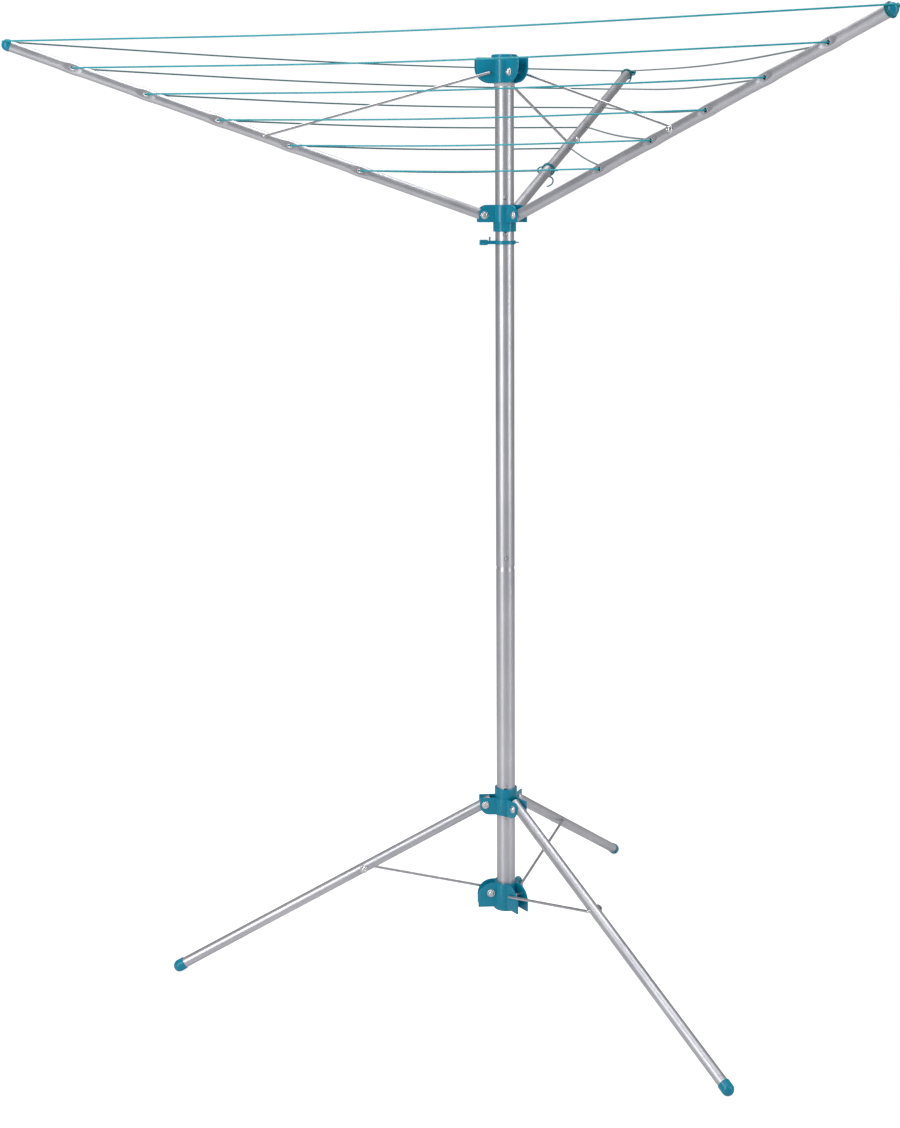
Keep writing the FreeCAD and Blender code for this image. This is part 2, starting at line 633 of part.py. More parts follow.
NUT_BLIND = "Sizes.nut_blind * Sizes.nut_height"
nut = turned("nut", [
    ("Sizes.rod_radius", "0"), ("Sizes.nut_radius", "0"), ("Sizes.nut_radius", "Sizes.nut_height"),
    ("0", "Sizes.nut_height"), ("0", NUT_BLIND), ("Sizes.rod_radius", NUT_BLIND)],
    [("Sizes.nut_radius", "Sizes.nut_height", f"{DOME_ROUND} * Sizes.nut_height")])


def rod(label, tube, azimuth, side, pin_z, tube_point):
    """A wire rod bent into a pin at both ends, and its two push-on nuts.

    side is the side it runs on. The first pin crosses the clevis of an end hub, the second crosses a tube.
    """
    ear_outside = ear_faces(tube)[1]
    tube_outside = size(tube + "_radius")
    hub_run = ear_outside + size("rod_radius") + size("rod_gap")
    tube_run = tube_outside + size("rod_radius") + size("rod_gap")
    gap = size("face_clearance")
    blind = value_of(NUT_BLIND)
    radial, z = tube_point
    points = [
        in_plane(azimuth, end_pin_circle, pin_z, -side * (ear_outside + gap + blind)),
        in_plane(azimuth, end_pin_circle, pin_z, side * hub_run),
        in_plane(azimuth, radial, z, side * tube_run),
        in_plane(azimuth, radial, z, -side * (tube_outside + gap + blind)),
    ]
    wire = rounded_path(points, [size("rod_bend")] * 2)
    keep_shape(round_bar(wire, size("rod_radius")), label)
    outward = side_frame(azimuth)[1] * -side
    places = [along(in_plane(azimuth, end_pin_circle, pin_z, -side * (ear_outside + gap)), outward),
              along(in_plane(azimuth, radial, z, -side * (tube_outside + gap)), outward)]
    turned_copies(nut, places, label + "_nuts")


def on_tube(pivot_z, angle, distance):
    """Radial distance and height of a point on a tube's axis."""
    return pivot_circle + distance * math.cos(angle), pivot_z + distance * math.sin(angle)


PIN_HOLE = "Sizes.rod_radius + Sizes.pin_clearance"
RIVET_HOLE = "Sizes.rivet_radius + Sizes.pin_clearance"
line_holes = [size("line_hole_first") + i * size("line_hole_pitch") for i in range(LINE_HOLES)]
arm_holes = [(0, RIVET_HOLE), (size("stay_hole"), PIN_HOLE)]
arm_holes += [(distance, "Sizes.line_hole_radius") for distance in line_holes]
for key, azimuth in ARM_AZIMUTHS.items():
    tube("arm_" + key, azimuth, arm_pivot_z, arm_rise, "arm_radius", "arm_wall", "arm_tail", "arm_length",
         arm_holes)
    rod("stay_" + key, "arm", azimuth, 1, size("top_pin_z"), on_tube(arm_pivot_z, arm_rise, size("stay_hole")))

# ---------------------------------------------------------------- legs
leg_fall = math.radians(-leg_angle)
for key, azimuth in LEG_AZIMUTHS.items():
    tube("leg_" + key, azimuth, leg_pivot_z, leg_fall, "leg_radius", "leg_wall", "leg_tail", "leg_length",
         [(0, RIVET_HOLE), (size("spreader_hole"), PIN_HOLE)])
    rod("spreader_" + key, "leg", azimuth, -1, size("bottom_pin_z"),
        on_tube(leg_pivot_z, leg_fall, size("spreader_hole")))
    # foot cap: a cup over the tube's end with a round end, and a small flat where it meets the floor
    direction = tube_direction(azimuth, leg_fall)[0]
    centre = in_plane(azimuth, *on_tube(leg_pivot_z, leg_fall, size("leg_length")))
    start = centre - direction * size("foot_skirt")
    shell = cylinder(f"foot_{key}_skirt", "Sizes.leg_radius + Sizes.foot_wall", "Sizes.foot_skirt",
                     along(start, direction))
    ball = named("Part::Sphere", f"foot_{key}_ball", Radius="Sizes.leg_radius + Sizes.foot_wall")
    ball.Placement = Placement(centre, Rotation())
    tube_room = cylinder(f"foot_{key}_room", "Sizes.leg_radius", "Sizes.foot_skirt", along(start, direction))
    floor = cylinder(f"foot_{key}_floor", "4 * Sizes.leg_radius", str(foot_radius),
                     Placement(Vector(centre.x, centre.y, -foot_radius), Rotation()))
    keep(cut(f"foot_{key}_cup", fuse(f"foot_{key}_solid", [shell, ball]), [tube_room, floor]), "foot_" + key)

# ---------------------------------------------------------------- clip ring
ring_low = arm_hub_bottom - size("ring_gap") - size("ring_height")
ring_out = side_frame(RING_TAB_AZIMUTH)[0]
ring_turn = Rotation(Vector(0, 0, 1), RING_TAB_AZIMUTH)
ring_reach = size("pole_radius") + size("ring_tab")
grip_start = ring_reach - size("ring_grip_length")
grip_low = ring_low + (size("ring_height") - size("ring_grip_height")) / 2


def on_ring(radial, z):
    return Placement(ring_out * radial + Vector(0, 0, z), ring_turn)


ring_high = ring_low + size("ring_height")
band = upright("ring_band", f"{BORE} + Sizes.ring_wall", ring_low, ring_high)
tab = box("ring_tab_plate", f"{grip_start} + Sizes.ring_grip_round", "Sizes.ring_tab_width",
          "Sizes.ring_height", on_ring(0, ring_low))
grip = box("ring_grip", "Sizes.ring_grip_length", "Sizes.ring_grip_width", "Sizes.ring_grip_height",
           on_ring(grip_start, grip_low))
grip = round_edges("ring_grip_round", grip, size("ring_grip_round"), lambda edge: True)
hook = box("ring_hook", "Sizes.ring_hook_length", "Sizes.ring_tab_width",
           "Sizes.ring_height + Sizes.ring_hook_rise",
           on_ring(size("pole_radius") + size("ring_hook_place"), ring_low))
hook = round_edges("ring_hook_round", hook, size("ring_hook_round"),
                   lambda edge: edge.CenterOfMass.z > ring_high)
tail = named("Part::Cone", "ring_tail_cone", Radius1="Sizes.ring_tail_root", Radius2="Sizes.ring_tail_end",
             Height=f"{BORE} + Sizes.ring_wall + Sizes.ring_tail")
tail.Placement = along(Vector(0, 0, ring_low + size("ring_height") / 2), ring_out * -1)
ring_tools = [upright("ring_bore", BORE, ring_low - OVERSHOOT, ring_high + OVERSHOOT)]
for share in GRIP_GROOVE_SHARES:
    for side in (-0.5, 0.5):
        radial = grip_start + share * size("ring_grip_length")
        start = in_plane(RING_TAB_AZIMUTH, radial, grip_low - OVERSHOOT, side * size("ring_grip_width"))
        ring_tools.append(cylinder(f"ring_groove{len(ring_tools)}", "Sizes.ring_grip_groove",
                                   f"Sizes.ring_grip_height + {2 * OVERSHOOT}", Placement(start, Rotation())))
keep(cut("ring_whole", fuse("ring_solid", [band, tab, grip, hook, tail]), ring_tools), "clip_ring")

# ---------------------------------------------------------------- clothesline
# It is threaded outward from the innermost hole of arm c, once round at each hole, then round the tip caps.
wrap_radius = tip_radius - size("wrap_depth")
wrap_rise = WRAP_RISE_SHARE * tip_radius
wrap_run = WRAP_SPREAD * 2 * wrap_radius * math.tan(math.radians(WRAP_HALF_TURN))
tip_centre = size("arm_length") + size("tip_skirt")
cross_half = size("arm_radius") - size("arm_wall") / 2


def hole_points(azimuth, distance):
    """Where the line bends at both walls of an arm, arriving and leaving."""
    direction = tube_direction(azimuth, arm_rise)[0]
    across = side_frame(azimuth)[1]
    centre = in_plane(azimuth, pivot_circle, arm_pivot_z) + direction * (distance + size("line_lean"))
    return [centre - across * cross_half, centre + across * cross_half]


def tip_points(azimuth):
    """Where the line bends round a tip cap."""
    direction, square = tube_direction(azimuth, arm_rise)
    across = side_frame(azimuth)[1]
    centre = in_plane(azimuth, pivot_circle, arm_pivot_z) + direction * (tip_centre + wrap_radius)
    centre = centre + square * wrap_rise
    return [centre - across * wrap_run / 2, centre + across * wrap_run / 2]


def line_route():
    """All bend points in order and the radius at each inner one."""
    stations = []
    for i in range(LINE_HOLES):
        for azimuth in ARM_AZIMUTHS.values():
            stations.append((hole_points(azimuth, line_holes[i]), None))
    for azimuth in ARM_AZIMUTHS.values():
        stations.append((tip_points(azimuth), wrap_radius))
    route = []
    wanted = []
    at_holes = set()
    for i, (pair, radius) in enumerate(stations):
        if i:
            gap = pair[0] - route[-1]
            route.append(route[-1] + gap * 0.5 - Vector(0, 0, size("line_sag") * gap.Length))
            wanted.append(None)
        if radius is None:
            at_holes.update((len(route), len(route) + 1))
        route.extend(pair)
        wanted.extend([radius, radius])
    first_across = (route[1] - route[0]).normalize()
    route[0] = route[0] - first_across * size("line_tail")
    last_turn = (route[-1] - route[-2]).normalize()
    route[-1] = route[-1] + last_turn * size("line_tail")
    radii = []
    for i in range(1, len(route) - 1):
        back = route[i - 1] - route[i]
        on = route[i + 1] - route[i]
        half_turn = (math.pi - back.getAngle(on)) / 2
        radius = size("line_bend") * min(back.Length, on.Length) / math.tan(half_turn)
        if i in at_holes:
            # the bend starts inside the arm, and cuts its corner by no more than the hole leaves room for
            inside_arm = size("hole_bend") * 2 * cross_half / math.tan(half_turn)
            slack = size("hole_slack") * (size("line_hole_radius") - size("line_radius"))
            radius = min(radius, inside_arm, slack / (1 / math.cos(half_turn) - 1))
        radii.append(wanted[i] or radius)
    return route, radii


route, radii = line_route()
line_wire = rounded_path(route, radii)
keep_shape(round_bar(line_wire, size("line_radius")), "clothesline")
print(f"clothesline: length {line_wire.Length:.0f} mm, {len(radii)} bends of these radii in mm")
print(" ".join(f"{radius:.1f}" for radius in radii))

# ---------------------------------------------------------------- tip caps
def groove_path(azimuth):
    """The line's own way round a tip cap, with straight ends that leave the cap."""
    corners = tip_points(azimuth)
    index = min(range(len(route)), key=lambda i: (route[i] - corners[0]).Length)
    before = corners[0] + (route[index - 1] - corners[0]).normalize() * size("groove_run")
    if index + 2 < len(route):
        after = corners[1] + (route[index + 2] - corners[1]).normalize() * size("groove_run")
        return rounded_path([before, *corners, after], [wrap_radius] * 2)
    after = corners[1] + (corners[1] - corners[0]).normalize() * size("groove_run")
    return rounded_path([before, corners[0], after], [wrap_radius])


for key, azimuth in ARM_AZIMUTHS.items():
    direction = tube_direction(azimuth, arm_rise)[0]
    centre = in_plane(azimuth, *on_tube(arm_pivot_z, arm_rise, tip_centre))
    end = centre - direction * size("tip_skirt")
    plug_start = end - direction * size("tip_plug")
    skirt = cylinder(f"tip_{key}_skirt", "Sizes.arm_radius + Sizes.tip_wall", "Sizes.tip_skirt",
                     along(end, direction))
    plug = cylinder(f"tip_{key}_plug", "Sizes.arm_radius - Sizes.arm_wall",
                    "Sizes.tip_plug + Sizes.tip_skirt", along(plug_start, direction))
    ball = named("Part::Sphere", f"tip_{key}_ball", Radius="Sizes.arm_radius + Sizes.tip_wall")
    ball.Placement = Placement(centre, Rotation())
    behind = cylinder(f"tip_{key}_behind", "2 * Sizes.arm_radius", "Sizes.tip_plug",
                      along(plug_start, direction))
    body = fuse(f"tip_{key}_solid", [skirt, cut(f"tip_{key}_round", ball, [behind]), plug])
    doc.recompute()
    groove = round_bar(groove_path(azimuth), size("line_radius") + size("groove_clearance"))
    keep_shape(body.Shape.cut(groove, CUT_TOLERANCE), "tip_" + key)

# ---------------------------------------------------------------- checks and files
doc.removeObject("Scratch")
doc.recompute()
faults = []
for item in doc.Objects:
    if "Invalid" in item.State or "Error" in item.State:
        faults.append(f"{item.Name} is {item.State}")
for item in NODES:
    shape = item.Shape
    if shape.isNull() or not shape.isValid() or not shape.Solids:
        faults.append(f"{item.Label} has no valid solid")
if faults:
    raise ValueError("; ".join(faults))
os.makedirs("parts", exist_ok=True)
for item in NODES:
    item.Shape.exportStep(f"parts/{item.Label}.step")
    print(f"{item.Label}: {len(item.Shape.Solids)} solid(s), {item.Shape.Volume / 1000:.2f} cm3")
print(f"{len(NODES)} nodes, pivot circle {pivot_circle:.2f}, pin circle {end_pin_circle:.2f}")
print(f"legs fall by {leg_angle:.3f} degrees")
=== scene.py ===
import json
import math

import bmesh
import bpy
from mathutils import Matrix, Vector

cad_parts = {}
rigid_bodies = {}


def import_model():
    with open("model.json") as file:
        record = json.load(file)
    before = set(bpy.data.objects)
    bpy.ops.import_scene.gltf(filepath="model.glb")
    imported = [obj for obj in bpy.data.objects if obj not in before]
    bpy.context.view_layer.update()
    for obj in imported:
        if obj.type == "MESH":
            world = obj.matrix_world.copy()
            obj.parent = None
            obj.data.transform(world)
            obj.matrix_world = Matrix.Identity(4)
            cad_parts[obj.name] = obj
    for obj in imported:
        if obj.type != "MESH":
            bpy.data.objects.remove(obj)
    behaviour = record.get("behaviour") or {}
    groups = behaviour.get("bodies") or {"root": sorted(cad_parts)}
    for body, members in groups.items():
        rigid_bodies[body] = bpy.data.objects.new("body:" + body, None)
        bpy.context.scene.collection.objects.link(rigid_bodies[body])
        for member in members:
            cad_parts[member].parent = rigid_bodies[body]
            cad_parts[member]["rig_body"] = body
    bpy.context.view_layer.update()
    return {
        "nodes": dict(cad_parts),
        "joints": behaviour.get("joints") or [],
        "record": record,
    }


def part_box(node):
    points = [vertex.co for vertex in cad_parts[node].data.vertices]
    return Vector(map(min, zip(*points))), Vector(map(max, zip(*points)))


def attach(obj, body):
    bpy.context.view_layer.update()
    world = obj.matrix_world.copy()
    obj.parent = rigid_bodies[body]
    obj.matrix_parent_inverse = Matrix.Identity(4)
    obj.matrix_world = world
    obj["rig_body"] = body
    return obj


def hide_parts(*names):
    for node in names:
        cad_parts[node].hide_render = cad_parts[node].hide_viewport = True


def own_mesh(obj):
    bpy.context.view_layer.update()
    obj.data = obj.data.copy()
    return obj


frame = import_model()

SCENE = bpy.context.scene
JOINTS = {joint["name"]: joint for joint in frame["joints"]}

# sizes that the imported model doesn't state, in metres and radians; places on an arm are from its pivot
POLE_RADIUS = 0.017
ARM_RISE = math.radians(19.8)
ARM_RADIUS = 0.0095
ARM_WALL = 0.0008
ARM_LENGTH = 0.876
ARM_TAIL = 0.013
LEG_FALL = math.radians(27.44)
LINE_HOLES = [0.237, 0.369, 0.501, 0.633, 0.765]
LINE_HOLE_RADIUS = 0.0036
STAY_HOLE = 0.4185
STAY_HOLE_RADIUS = 0.0026
SPREADER_HOLE = 0.253
RIVET_HOLE_RADIUS = 0.0031
TIP_CENTRE = 0.881
TIP_RADIUS = 0.0103
LINE_RADIUS = 0.0015
LINE_SAG = 0.0085  # share of a span's length
LINE_ORDER = ["c", "a", "b"]  # the arms, in the order in which the line visits them
FULL_TURN = 2 * math.pi
UP = Vector((0, 0, 1))
SMALLEST = 1e-6  # lengths below this count as none


# ---------------------------------------------------------------- camera
CAMERA_PLACE = (-0.6103, -3.2522, 1.4475)
CAMERA_HEADING = math.radians(-8.326)
CAMERA_TILT = math.radians(90 - 4.863)
CAMERA_ROLL = math.radians(-0.319)
camera_data = bpy.data.cameras.new("camera")
camera_data.sensor_fit = "AUTO"
camera_data.sensor_width = 36.0
camera_data.lens = 58.48
camera_data.shift_x = 0.0164
camera_data.shift_y = -0.20
camera_data.clip_end = 50.0
camera = bpy.data.objects.new("camera", camera_data)
SCENE.collection.objects.link(camera)
heading = Matrix.Rotation(CAMERA_HEADING, 4, "Z")
tilt = Matrix.Rotation(CAMERA_TILT, 4, "X")
roll = Matrix.Rotation(CAMERA_ROLL, 4, "Z")
camera.matrix_world = Matrix.Translation(CAMERA_PLACE) @ heading @ tilt @ roll
SCENE.camera = camera


# ---------------------------------------------------------------- helpers
# how many steps a tube's section and a knot's spline are drawn with
TUBE_ROUNDNESS = 3
KNOT_FINENESS = 14


def add_object(name, mesh, body, material, smooth=True):
    """A finished mesh as a piece of the object."""
    piece = bpy.data.objects.new(name, mesh)
    SCENE.collection.objects.link(piece)
    mesh.materials.clear()
    mesh.materials.append(material)
    if smooth:
        mesh.shade_smooth()
    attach(piece, body)
    return piece


def mesh_of(work, name):
    """The finished mesh of a bmesh, which is freed."""
    mesh = bpy.data.meshes.new(name)
    work.to_mesh(mesh)
    work.free()
    return mesh


def baked(item):
    """The mesh of an object with its modifiers applied; the object itself is removed."""
    bpy.context.view_layer.update()
    graph = bpy.context.evaluated_depsgraph_get()
    mesh = bpy.data.meshes.new_from_object(item.evaluated_get(graph), depsgraph=graph)
    bpy.data.objects.remove(item)
    return mesh


def new_curve(name, radius):
    """An empty curve that gives its splines a round section of this radius, with closed ends."""
    curve = bpy.data.curves.new(name, "CURVE")
    curve.dimensions = "3D"
    curve.bevel_depth = radius
    curve.bevel_resolution = TUBE_ROUNDNESS
    curve.use_fill_caps = True
    return curve


def add_spline(curve, kind, points, fineness, closed=False):
    """A spline of kind POLY, through the points, or NURBS, with them as its control points."""
    spline = curve.splines.new(kind)
    spline.points.add(len(points) - 1)
    for control, point in zip(spline.points, points):
        control.co = (*point, 1.0)
    spline.order_u = 3
    spline.use_endpoint_u = not closed
    spline.use_cyclic_u = closed
    spline.resolution_u = fineness


def curve_mesh(curve):
    """The curve's finished shape as a mesh."""
    holder = bpy.data.objects.new(curve.name, curve)
    SCENE.collection.objects.link(holder)
    return baked(holder)


def smooth_tube(name, points, radius, body, material):
    """A round bar along a smooth spline with the points as its control points, as a mesh."""
    curve = new_curve(name + "_curve", radius)
    add_spline(curve, "NURBS", points, KNOT_FINENESS)
    return add_object(name, curve_mesh(curve), body, material)


# ---------------------------------------------------------------- materials
# the part of a noise's values over which a number goes from low to high, and a colour from first to second
NUMBER_SPAN = (0.3, 0.7)
COLOUR_SPAN = (0.35, 0.65)


def node_material(name):
    """A material with its node tree and its main shader."""
    material = bpy.data.materials.new(name)
    material.use_nodes = True
    shader = material.node_tree.nodes["Principled BSDF"]
    return material, material.node_tree, shader


def noise(tree, scale, detail=4.0, stretch=(1.0, 1.0, 1.0)):
    """Noise that is fixed to the object, drawn out along an axis whose stretch is below 1."""
    place = tree.nodes.new("ShaderNodeTexCoord")
    mapping = tree.nodes.new("ShaderNodeMapping")
    mapping.inputs["Scale"].default_value = stretch
    texture = tree.nodes.new("ShaderNodeTexNoise")
    texture.inputs["Scale"].default_value = scale
    texture.inputs["Detail"].default_value = detail
    tree.links.new(place.outputs["Object"], mapping.inputs["Vector"])
    tree.links.new(mapping.outputs["Vector"], texture.inputs["Vector"])
    return texture


def vary(tree, texture, low, high, target):
    """Turns a noise into numbers from low to high, for a shader input."""
    spread = tree.nodes.new("ShaderNodeMapRange")
    spread.inputs["From Min"].default_value = NUMBER_SPAN[0]
    spread.inputs["From Max"].default_value = NUMBER_SPAN[1]
    spread.inputs["To Min"].default_value = low
    spread.inputs["To Max"].default_value = high
    tree.links.new(texture.outputs["Fac"], spread.inputs["Value"])
    tree.links.new(spread.outputs["Result"], target)


def tint(tree, texture, first, second, target):
    """Mixes two colours by a noise."""
    ramp = tree.nodes.new("ShaderNodeValToRGB")
    for element, position, colour in zip(ramp.color_ramp.elements, COLOUR_SPAN, (first, second)):
        element.position = position
        element.color = (*colour, 1.0)
    tree.links.new(texture.outputs["Fac"], ramp.inputs["Fac"])
    tree.links.new(ramp.outputs["Color"], target)


def bump(tree, shader, texture, strength, distance):
    """Roughens the shaded surface finely by a noise."""
    node = tree.nodes.new("ShaderNodeBump")
    node.inputs["Strength"].default_value = strength
    node.inputs["Distance"].default_value = distance
    tree.links.new(texture.outputs["Fac"], node.inputs["Height"])
    tree.links.new(node.outputs["Normal"], shader.inputs["Normal"])


def silver_tube(name, stretch):
    """Satin silver coating on drawn tube: faint drawing marks and a fine metallic grain."""
    material, tree, shader = node_material(name)
    shader.inputs["Metallic"].default_value = 0.85
    drawn = noise(tree, 60.0, 5.0, stretch)
    grain = noise(tree, 2600.0, 2.0)
    tint(tree, noise(tree, 9.0, 3.0), (0.52, 0.52, 0.565), (0.60, 0.60, 0.64), shader.inputs["Base Color"])
    vary(tree, drawn, 0.34, 0.44, shader.inputs["Roughness"])
    bump(tree, shader, grain, 0.05, 0.0002)
    return material


def teal_plastic(name, first, second, low, high):
    """Moulded plastic: slight cloudiness, roughness from low to high and a fine moulded surface."""
    material, tree, shader = node_material(name)
    shader.inputs["IOR"].default_value = 1.38
    shader.inputs["Coat Weight"].default_value = 0.12
    shader.inputs["Coat Roughness"].default_value = 0.08
    tint(tree, noise(tree, 35.0, 3.0), first, second, shader.inputs["Base Color"])
    vary(tree, noise(tree, 240.0, 3.0), low, high, shader.inputs["Roughness"])
    bump(tree, shader, noise(tree, 900.0, 2.0), 0.08, 0.0003)
    return material


def nylon(name):
    """Pale unpainted nylon: slightly cloudy, satin, with a fine moulded surface."""
    material, tree, shader = node_material(name)
    shader.inputs["IOR"].default_value = 1.5
    tint(tree, noise(tree, 60.0, 3.0), (0.52, 0.53, 0.54), (0.60, 0.61, 0.62), shader.inputs["Base Color"])
    vary(tree, noise(tree, 300.0, 3.0), 0.35, 0.5, shader.inputs["Roughness"])
    bump(tree, shader, noise(tree, 1200.0, 2.0), 0.1, 0.0002)
    return material


def bright_metal(name, first, second, low, high, scale):
    """Bare or plated metal: roughness from low to high in faint handling marks of this scale."""
    material, tree, shader = node_material(name)
    shader.inputs["Metallic"].default_value = 1.0
    tint(tree, noise(tree, scale * 0.2, 3.0), first, second, shader.inputs["Base Color"])
    vary(tree, noise(tree, scale, 4.0), low, high, shader.inputs["Roughness"])
    bump(tree, shader, noise(tree, scale * 4, 2.0), 0.015, 0.0002)
    return material


TUBE = silver_tube("silver_tube", (1.0, 1.0, 0.03))
ARM_TUBE = silver_tube("silver_arm_tube", (0.6, 0.6, 0.6))
PLASTIC = teal_plastic("teal_plastic", (0.0, 0.215, 0.335), (0.0, 0.24, 0.37), 0.18, 0.3)
LINE = teal_plastic("teal_line", (0.0, 0.30, 0.37), (0.004, 0.36, 0.43), 0.28, 0.42)
# the same teal line, darkened as painted shade for the tight knots, wraps and tails
LINE_KNOT_PAINTED_SHADE = teal_plastic("teal_line_knots_painted_shade", (0.0, 0.15, 0.19), (0.002, 0.20, 0.25), 0.25, 0.4)
# shaded copies of the one teal line: painted shade, darker slate for the far spans and greyer for the side
# spans
LINE_FAR_PAINTED_SHADE = teal_plastic("teal_line_far_painted_shade", (0.05, 0.135, 0.16), (0.065, 0.16, 0.19), 0.3, 0.45)
LINE_SIDE_PAINTED_SHADE = teal_plastic("teal_line_side_painted_shade", (0.16, 0.21, 0.23), (0.20, 0.26, 0.28), 0.3, 0.45)
# the spans that leave each arm get a shade of their own: the same teal line, with painted shade greying the
# spans from arm b and darkening those from arm c
SPAN_LINES = {"a": LINE, "b": LINE_SIDE_PAINTED_SHADE, "c": LINE_FAR_PAINTED_SHADE}
NYLON = nylon("grey_nylon")
CHROME = bright_metal("chrome", (0.66, 0.66, 0.68), (0.76, 0.76, 0.78), 0.10, 0.20, 400.0)
# chrome darkened as painted shade, for the shaded ring of each button's hole
BUTTON_PAINTED_SHADE = bright_metal("snap_button_chrome_painted_shade", (0.40, 0.40, 0.42), (0.50, 0.50, 0.52), 0.12, 0.20, 400.0)
WIRE = bright_metal("plated_wire", (0.55, 0.55, 0.58), (0.66, 0.66, 0.69), 0.22, 0.38, 500.0)
EYELET = bright_metal("eyelet_lip", (0.74, 0.74, 0.77), (0.82, 0.82, 0.85), 0.15, 0.25, 300.0)
SPRING = bright_metal("spring_steel", (0.32, 0.32, 0.34), (0.40, 0.40, 0.42), 0.3, 0.45, 300.0)
BY_SLOT = {"tube": TUBE, "plastic": PLASTIC, "chrome": CHROME, "wire": WIRE, "line": LINE,
           "spring_steel": SPRING, "bush": NYLON}


# ---------------------------------------------------------------- clothesline
class Arm:
    """An arm's pivot, directions and points along it, taken from its fold joint."""

    def __init__(self, key):
        joint = JOINTS[f"arm_{key}_fold"]
        self.key = key
        self.body = "arm_" + key
        self.pivot = Vector(joint["pos_m"])
        self.across = -Vector(joint["axis"])
        self.out = self.across.cross(UP)
        self.direction = self.out * math.cos(ARM_RISE) + UP * math.sin(ARM_RISE)
        self.square = UP * math.cos(ARM_RISE) - self.out * math.sin(ARM_RISE)

    def at(self, distance, side=0.0, up=0.0):
        """A point by its distance from the pivot, and its offsets across and square to the arm."""
        return self.pivot + self.direction * distance + self.across * side + self.square * up


ARMS = {key: Arm(key) for key in LINE_ORDER}
# at a hole the line lies outward of the hole's middle and bends where it passes the tube's wall
LEAN = 0.0012
CROSS_HALF = ARM_RADIUS - ARM_WALL / 2
# at a tip it lies in the cap's groove, part of the way up the cap, and bends at both ends of a short run
GROOVE_DEPTH = 0.001
GROOVE_RADIUS = TIP_RADIUS - GROOVE_DEPTH
GROOVE_RISE_SHARE = 0.3
GROOVE_RISE = GROOVE_RISE_SHARE * TIP_RADIUS
GROOVE_BEND = math.radians(60)
GROOVE_RUN_SHARE = 2.1
GROOVE_RUN = GROOVE_RUN_SHARE * GROOVE_RADIUS * math.tan(GROOVE_BEND / 2)
TIP_STAND_OFF = 0.0006
# each side of a hole or tip the line stays straight this far, and its ends run on past the last bends
STRAIGHT_RUN = 0.018
LINE_TAIL = 0.012
# how many points of the route's spline are read per point of the route
ROUTE_FINENESS = 16


class Station:
    """Where the line meets an arm: the two points at which it bends, and the middle between them."""

    def __init__(self, arm, first, last, label):
        self.arm = arm
        self.first = first
        self.last = last
        self.middle = (first + last) / 2
        self.label = label


def hole_station(arm, number, distance):
    """Where the line passes through an arm."""
    first = arm.at(distance + LEAN, -CROSS_HALF)
    return Station(arm, first, arm.at(distance + LEAN, CROSS_HALF), f"{arm.key}{number}")


def tip_station(arm):
    """Where the line passes round an arm's tip cap."""
    distance = TIP_CENTRE + GROOVE_RADIUS + TIP_STAND_OFF
    first = arm.at(distance, -GROOVE_RUN / 2, GROOVE_RISE)
    return Station(arm, first, arm.at(distance, GROOVE_RUN / 2, GROOVE_RISE), f"{arm.key}_tip")


stations = [
    hole_station(ARMS[key], number, distance)
    for number, distance in enumerate(LINE_HOLES, start=1)
    for key in LINE_ORDER
]
stations += [tip_station(ARMS[key]) for key in LINE_ORDER]

# the route: round each station, low in the middle of each span, and straight beside each hole or tip
first_across = (stations[0].last - stations[0].first).normalized()
last_across = (stations[-1].last - stations[-1].first).normalized()
route = [stations[0].first - first_across * LINE_TAIL, stations[0].last]
span_middles = []
for here, there in zip(stations, stations[1:]):
    gap = there.first - here.last
    low = (here.last + there.first) / 2 - UP * LINE_SAG * gap.length
    straight_on = here.last + (low - here.last).normalized() * STRAIGHT_RUN
    straight_in = there.first + (low - there.first).normalized() * STRAIGHT_RUN
    span_middles.append((straight_on + low * 2 + straight_in) / 4)
    route += [straight_on, low, straight_in, there.first, there.last]
route[-1] += last_across * LINE_TAIL


def spline_points(points):
    """The points of a smooth spline, in order, with the given ones as its control points."""
    curve = new_curve("route", 0.0)
    add_spline(curve, "NURBS", points, ROUTE_FINENESS)
    return [vertex.co.copy() for vertex in curve_mesh(curve).vertices]


def gather(piece, arm, anchor, along):
    """Gives a half span a mesh of its own; where its free end would lie as the arms fold is worked out but
    not used.
    """
    middle = anchor + along
    # the upright plane halfway to the next arm, where the free end would lie in the folded pose
    halfway = UP.cross(middle).normalized()
    if halfway.dot(arm.out) < 0:
        halfway = -halfway
    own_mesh(piece)


def line_piece(name, points, arm, material):
    """A stretch of the line along points read from its route's spline."""
    curve = new_curve(name + "_curve", LINE_RADIUS)
    add_spline(curve, "POLY", points, 1)
    return add_object(name, curve_mesh(curve), arm.body, material)


# the line is cut at the middle of each span and of each arm, because half a span goes with its own arm
drawn = spline_points(route)
cuts = []
targets = [stations[0].middle]
for middle, station in zip(span_middles, stations[1:]):
    targets += [middle, station.middle]
search_from = 0
for target in targets:
    search_from = min(range(search_from, len(drawn)), key=lambda i: (drawn[i] - target).length)
    cuts.append(search_from)
beginning = line_piece("line_start", drawn[:cuts[0] + 1], stations[0].arm, SPAN_LINES["a"])
for i, (here, there) in enumerate(zip(stations, stations[1:])):
    leave, halfway, arrive = cuts[2 * i:2 * i + 3]
    material = SPAN_LINES[here.arm.key]
    for station, start, end, suffix in ((here, leave, halfway, "out"), (there, halfway, arrive, "in")):
        piece = line_piece(f"line_{station.label}_{suffix}", drawn[start:end + 1], station.arm, material)
        gather(piece, station.arm, station.middle, drawn[halfway] - station.middle)
line_piece("line_end", drawn[cuts[-1]:], stations[-1].arm, SPAN_LINES["a"])
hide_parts("clothesline")


# ---------------------------------------------------------------- wraps and knots
# how far the pressed tube bulges above and below a line hole
BULGE = 0.0011
